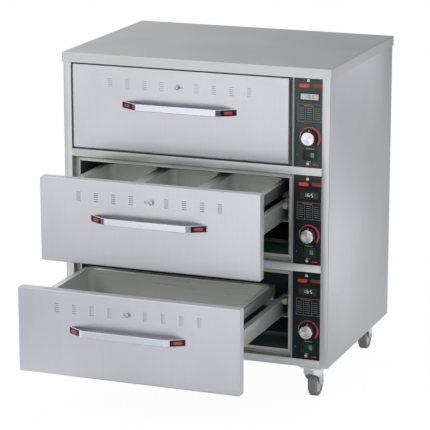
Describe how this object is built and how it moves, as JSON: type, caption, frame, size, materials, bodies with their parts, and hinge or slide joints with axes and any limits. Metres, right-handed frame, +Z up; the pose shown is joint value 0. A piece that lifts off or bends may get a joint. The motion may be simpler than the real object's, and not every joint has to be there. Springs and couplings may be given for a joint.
{
  "type": "three-drawer warming cabinet",
  "caption": "Free-standing food warming cabinet with roller-guided drawers, lift-out pans, side controls and swivel casters.",
  "frame": {"origin": "on the floor, under the middle of the whole object as it stands with its lower and middle drawers pulled out", "axes": "+X to the right across the front, +Y from the front to the back, +Z up"},
  "size_m": [0.749, 0.9458, 0.888],
  "materials": {
    "stainless": "satin brushed stainless sheet",
    "zinc_steel": "bright zinc-plated sheet",
    "polished_steel": "polished stainless strip",
    "pan_steel": "bright stainless pan",
    "liner_steel": "dull steel, seen in shade",
    "element_steel": "heat-darkened tube",
    "chrome": "bright plated",
    "copper_brass": "copper-coloured",
    "dark_panel": "dark grey-green print on sheet",
    "display_plastic": "smoked window",
    "black_plastic": "semi-gloss black",
    "tan_plastic": "tan moulding",
    "knob_silver": "silver cap on a black skirt",
    "nylon": "off-white nylon",
    "gasket_rubber": "black silicone",
    "glass_fibre": "pale yellow batt",
    "tyre": "grey rubber"
  },
  "bodies": {
    "cabinet": {"top_cover": "stainless", "left_side_panel": "stainless", "right_side_panel": "stainless", "back_panel": "stainless", "bottom_panel": "zinc_steel", "face_frame": "stainless", "cavity_liners": "liner_steel", "door_gaskets": "gasket_rubber", "insulation_batts": "glass_fibre", "fixed_channels": "zinc_steel", "control_plates": "dark_panel", "display_windows": "display_plastic", "panel_screws": "chrome", "thermostats": "tan_plastic", "switch_housings": "black_plastic", "heating_elements": "element_steel", "sensor_bulbs": "copper_brass", "caster_plates": "chrome", "power_gland": "black_plastic"},
    "lower_drawer": {"lower_drawer_front": "stainless", "lower_inner_panel": "zinc_steel", "lower_handle": "polished_steel", "lower_drawer_rails": "zinc_steel", "lower_pan_frame": "stainless", "lower_pan": "pan_steel"},
    "lower_vent": {"lower_vent_slide": "zinc_steel"},
    "lower_drawer_roller_pair": {"lower_drawer_rollers": "nylon"},
    "lower_cabinet_roller_pair": {"lower_cabinet_rollers": "nylon"},
    "lower_knob": {"lower_thermostat_knob": "knob_silver"},
    "lower_switch": {"lower_rocker": "black_plastic"},
    "middle_drawer": {"middle_drawer_front": "stainless", "middle_inner_panel": "zinc_steel", "middle_handle": "polished_steel", "middle_drawer_rails": "zinc_steel", "middle_pan_frame": "stainless", "middle_pans": "pan_steel"},
    "middle_vent": {"middle_vent_slide": "zinc_steel"},
    "middle_drawer_roller_pair": {"middle_drawer_rollers": "nylon"},
    "middle_cabinet_roller_pair": {"middle_cabinet_rollers": "nylon"},
    "middle_knob": {"middle_thermostat_knob": "knob_silver"},
    "middle_switch": {"middle_rocker": "black_plastic"},
    "upper_drawer": {"upper_drawer_front": "stainless", "upper_inner_panel": "zinc_steel", "upper_handle": "polished_steel", "upper_drawer_rails": "zinc_steel", "upper_pan_frame": "stainless", "upper_pan": "pan_steel"},
    "upper_vent": {"upper_vent_slide": "zinc_steel"},
    "upper_drawer_roller_pair": {"upper_drawer_rollers": "nylon"},
    "upper_cabinet_roller_pair": {"upper_cabinet_rollers": "nylon"},
    "upper_knob": {"upper_thermostat_knob": "knob_silver"},
    "upper_switch": {"upper_rocker": "black_plastic"},
    "front_right_caster": {"front_right_fork": "chrome"},
    "front_right_rolling_wheel": {"front_right_wheel": "tyre"},
    "front_left_caster": {"front_left_fork": "chrome"},
    "front_left_rolling_wheel": {"front_left_wheel": "tyre"},
    "rear_right_caster": {"rear_right_fork": "chrome"},
    "rear_right_rolling_wheel": {"rear_right_wheel": "tyre"},
    "rear_left_caster": {"rear_left_fork": "chrome"},
    "rear_left_rolling_wheel": {"rear_left_wheel": "tyre"}
  },
  "joints": [
    {"name": "lower_drawer_slide", "type": "slide", "parent": "cabinet", "child": "lower_drawer", "axis": [0, -1, 0], "range_m": [-0.358, 0.062]},
    {"name": "middle_drawer_slide", "type": "slide", "parent": "cabinet", "child": "middle_drawer", "axis": [0, -1, 0], "range_m": [-0.213, 0.207]},
    {"name": "upper_drawer_slide", "type": "slide", "parent": "cabinet", "child": "upper_drawer", "axis": [0, -1, 0], "range_m": [0, 0.42]},
    {"name": "lower_vent_slide", "type": "slide", "parent": "lower_drawer", "child": "lower_vent", "axis": [1, 0, 0], "range_m": [-0.008, 0.008]},
    {"name": "middle_vent_slide", "type": "slide", "parent": "middle_drawer", "child": "middle_vent", "axis": [1, 0, 0], "range_m": [-0.016, 0]},
    {"name": "upper_vent_slide", "type": "slide", "parent": "upper_drawer", "child": "upper_vent", "axis": [1, 0, 0], "range_m": [-0.0024, 0.0136]},
    {"name": "lower_drawer_roller_spin", "type": "hinge", "parent": "lower_drawer", "child": "lower_drawer_roller_pair", "pos_m": [-0.04, 0.0251, 0.2303], "axis": [1, 0, 0], "range_deg": [-2300, 2300]},
    {"name": "lower_cabinet_roller_spin", "type": "hinge", "parent": "cabinet", "child": "lower_cabinet_roller_pair", "pos_m": [-0.04, -0.0376, 0.2577], "axis": [1, 0, 0], "range_deg": [-2300, 2300]},
    {"name": "middle_drawer_roller_spin", "type": "hinge", "parent": "middle_drawer", "child": "middle_drawer_roller_pair", "pos_m": [-0.04, 0.1701, 0.4878], "axis": [1, 0, 0], "range_deg": [-2300, 2300]},
    {"name": "middle_cabinet_roller_spin", "type": "hinge", "parent": "cabinet", "child": "middle_cabinet_roller_pair", "pos_m": [-0.04, -0.0376, 0.5152], "axis": [1, 0, 0], "range_deg": [-2300, 2300]},
    {"name": "upper_drawer_roller_spin", "type": "hinge", "parent": "upper_drawer", "child": "upper_drawer_roller_pair", "pos_m": [-0.04, 0.3831, 0.7453], "axis": [1, 0, 0], "range_deg": [-2300, 2300]},
    {"name": "upper_cabinet_roller_spin", "type": "hinge", "parent": "cabinet", "child": "upper_cabinet_roller_pair", "pos_m": [-0.04, -0.0376, 0.7727], "axis": [1, 0, 0], "range_deg": [-2300, 2300]},
    {"name": "lower_thermostat_turn", "type": "hinge", "parent": "cabinet", "child": "lower_knob", "pos_m": [0.3165, -0.0778, 0.193], "axis": [0, 1, 0], "range_deg": [0, 300]},
    {"name": "middle_thermostat_turn", "type": "hinge", "parent": "cabinet", "child": "middle_knob", "pos_m": [0.3165, -0.0778, 0.4505], "axis": [0, 1, 0], "range_deg": [0, 300]},
    {"name": "upper_thermostat_turn", "type": "hinge", "parent": "cabinet", "child": "upper_knob", "pos_m": [0.3165, -0.0778, 0.708], "axis": [0, 1, 0], "range_deg": [0, 300]},
    {"name": "lower_switch_rock", "type": "hinge", "parent": "cabinet", "child": "lower_switch", "pos_m": [0.3165, -0.0743, 0.147], "axis": [0, 0, 1], "range_deg": [-14, 0]},
    {"name": "middle_switch_rock", "type": "hinge", "parent": "cabinet", "child": "middle_switch", "pos_m": [0.3165, -0.0743, 0.4045], "axis": [0, 0, 1], "range_deg": [-14, 0]},
    {"name": "upper_switch_rock", "type": "hinge", "parent": "cabinet", "child": "upper_switch", "pos_m": [0.3165, -0.0743, 0.662], "axis": [0, 0, 1], "range_deg": [-14, 0]},
    {"name": "front_right_swivel", "type": "hinge", "parent": "cabinet", "child": "front_right_caster", "pos_m": [0.322, -0.0436, 0.074], "axis": [0, 0, 1], "continuous": true},
    {"name": "front_right_wheel_roll", "type": "hinge", "parent": "front_right_caster", "child": "front_right_rolling_wheel", "pos_m": [0.32085, -0.02163, 0.038], "axis": [0.9986, 0.0523, 0], "continuous": true},
    {"name": "front_left_swivel", "type": "hinge", "parent": "cabinet", "child": "front_left_caster", "pos_m": [-0.322, -0.0436, 0.074], "axis": [0, 0, 1], "continuous": true},
    {"name": "front_left_wheel_roll", "type": "hinge", "parent": "front_left_caster", "child": "front_left_rolling_wheel", "pos_m": [-0.32315, -0.02163, 0.038], "axis": [0.9986, 0.0523, 0], "continuous": true},
    {"name": "rear_right_swivel", "type": "hinge", "parent": "cabinet", "child": "rear_right_caster", "pos_m": [0.322, 0.4024, 0.074], "axis": [0, 0, 1], "continuous": true},
    {"name": "rear_right_wheel_roll", "type": "hinge", "parent": "rear_right_caster", "child": "rear_right_rolling_wheel", "pos_m": [0.32027, 0.42433, 0.038], "axis": [0.9969, 0.0785, 0], "continuous": true},
    {"name": "rear_left_swivel", "type": "hinge", "parent": "cabinet", "child": "rear_left_caster", "pos_m": [-0.322, 0.4024, 0.074], "axis": [0, 0, 1], "continuous": true},
    {"name": "rear_left_wheel_roll", "type": "hinge", "parent": "rear_left_caster", "child": "rear_left_rolling_wheel", "pos_m": [-0.32373, 0.42433, 0.038], "axis": [0.9969, 0.0785, 0], "continuous": true}
  ],
  "couplings": [
    {"joint": "lower_drawer_roller_spin", "follows": "lower_drawer_slide", "rad_per_m": 90.909},
    {"joint": "lower_cabinet_roller_spin", "follows": "lower_drawer_slide", "rad_per_m": 90.909},
    {"joint": "middle_drawer_roller_spin", "follows": "middle_drawer_slide", "rad_per_m": 90.909},
    {"joint": "middle_cabinet_roller_spin", "follows": "middle_drawer_slide", "rad_per_m": 90.909},
    {"joint": "upper_drawer_roller_spin", "follows": "upper_drawer_slide", "rad_per_m": 90.909},
    {"joint": "upper_cabinet_roller_spin", "follows": "upper_drawer_slide", "rad_per_m": 90.909}
  ]
}
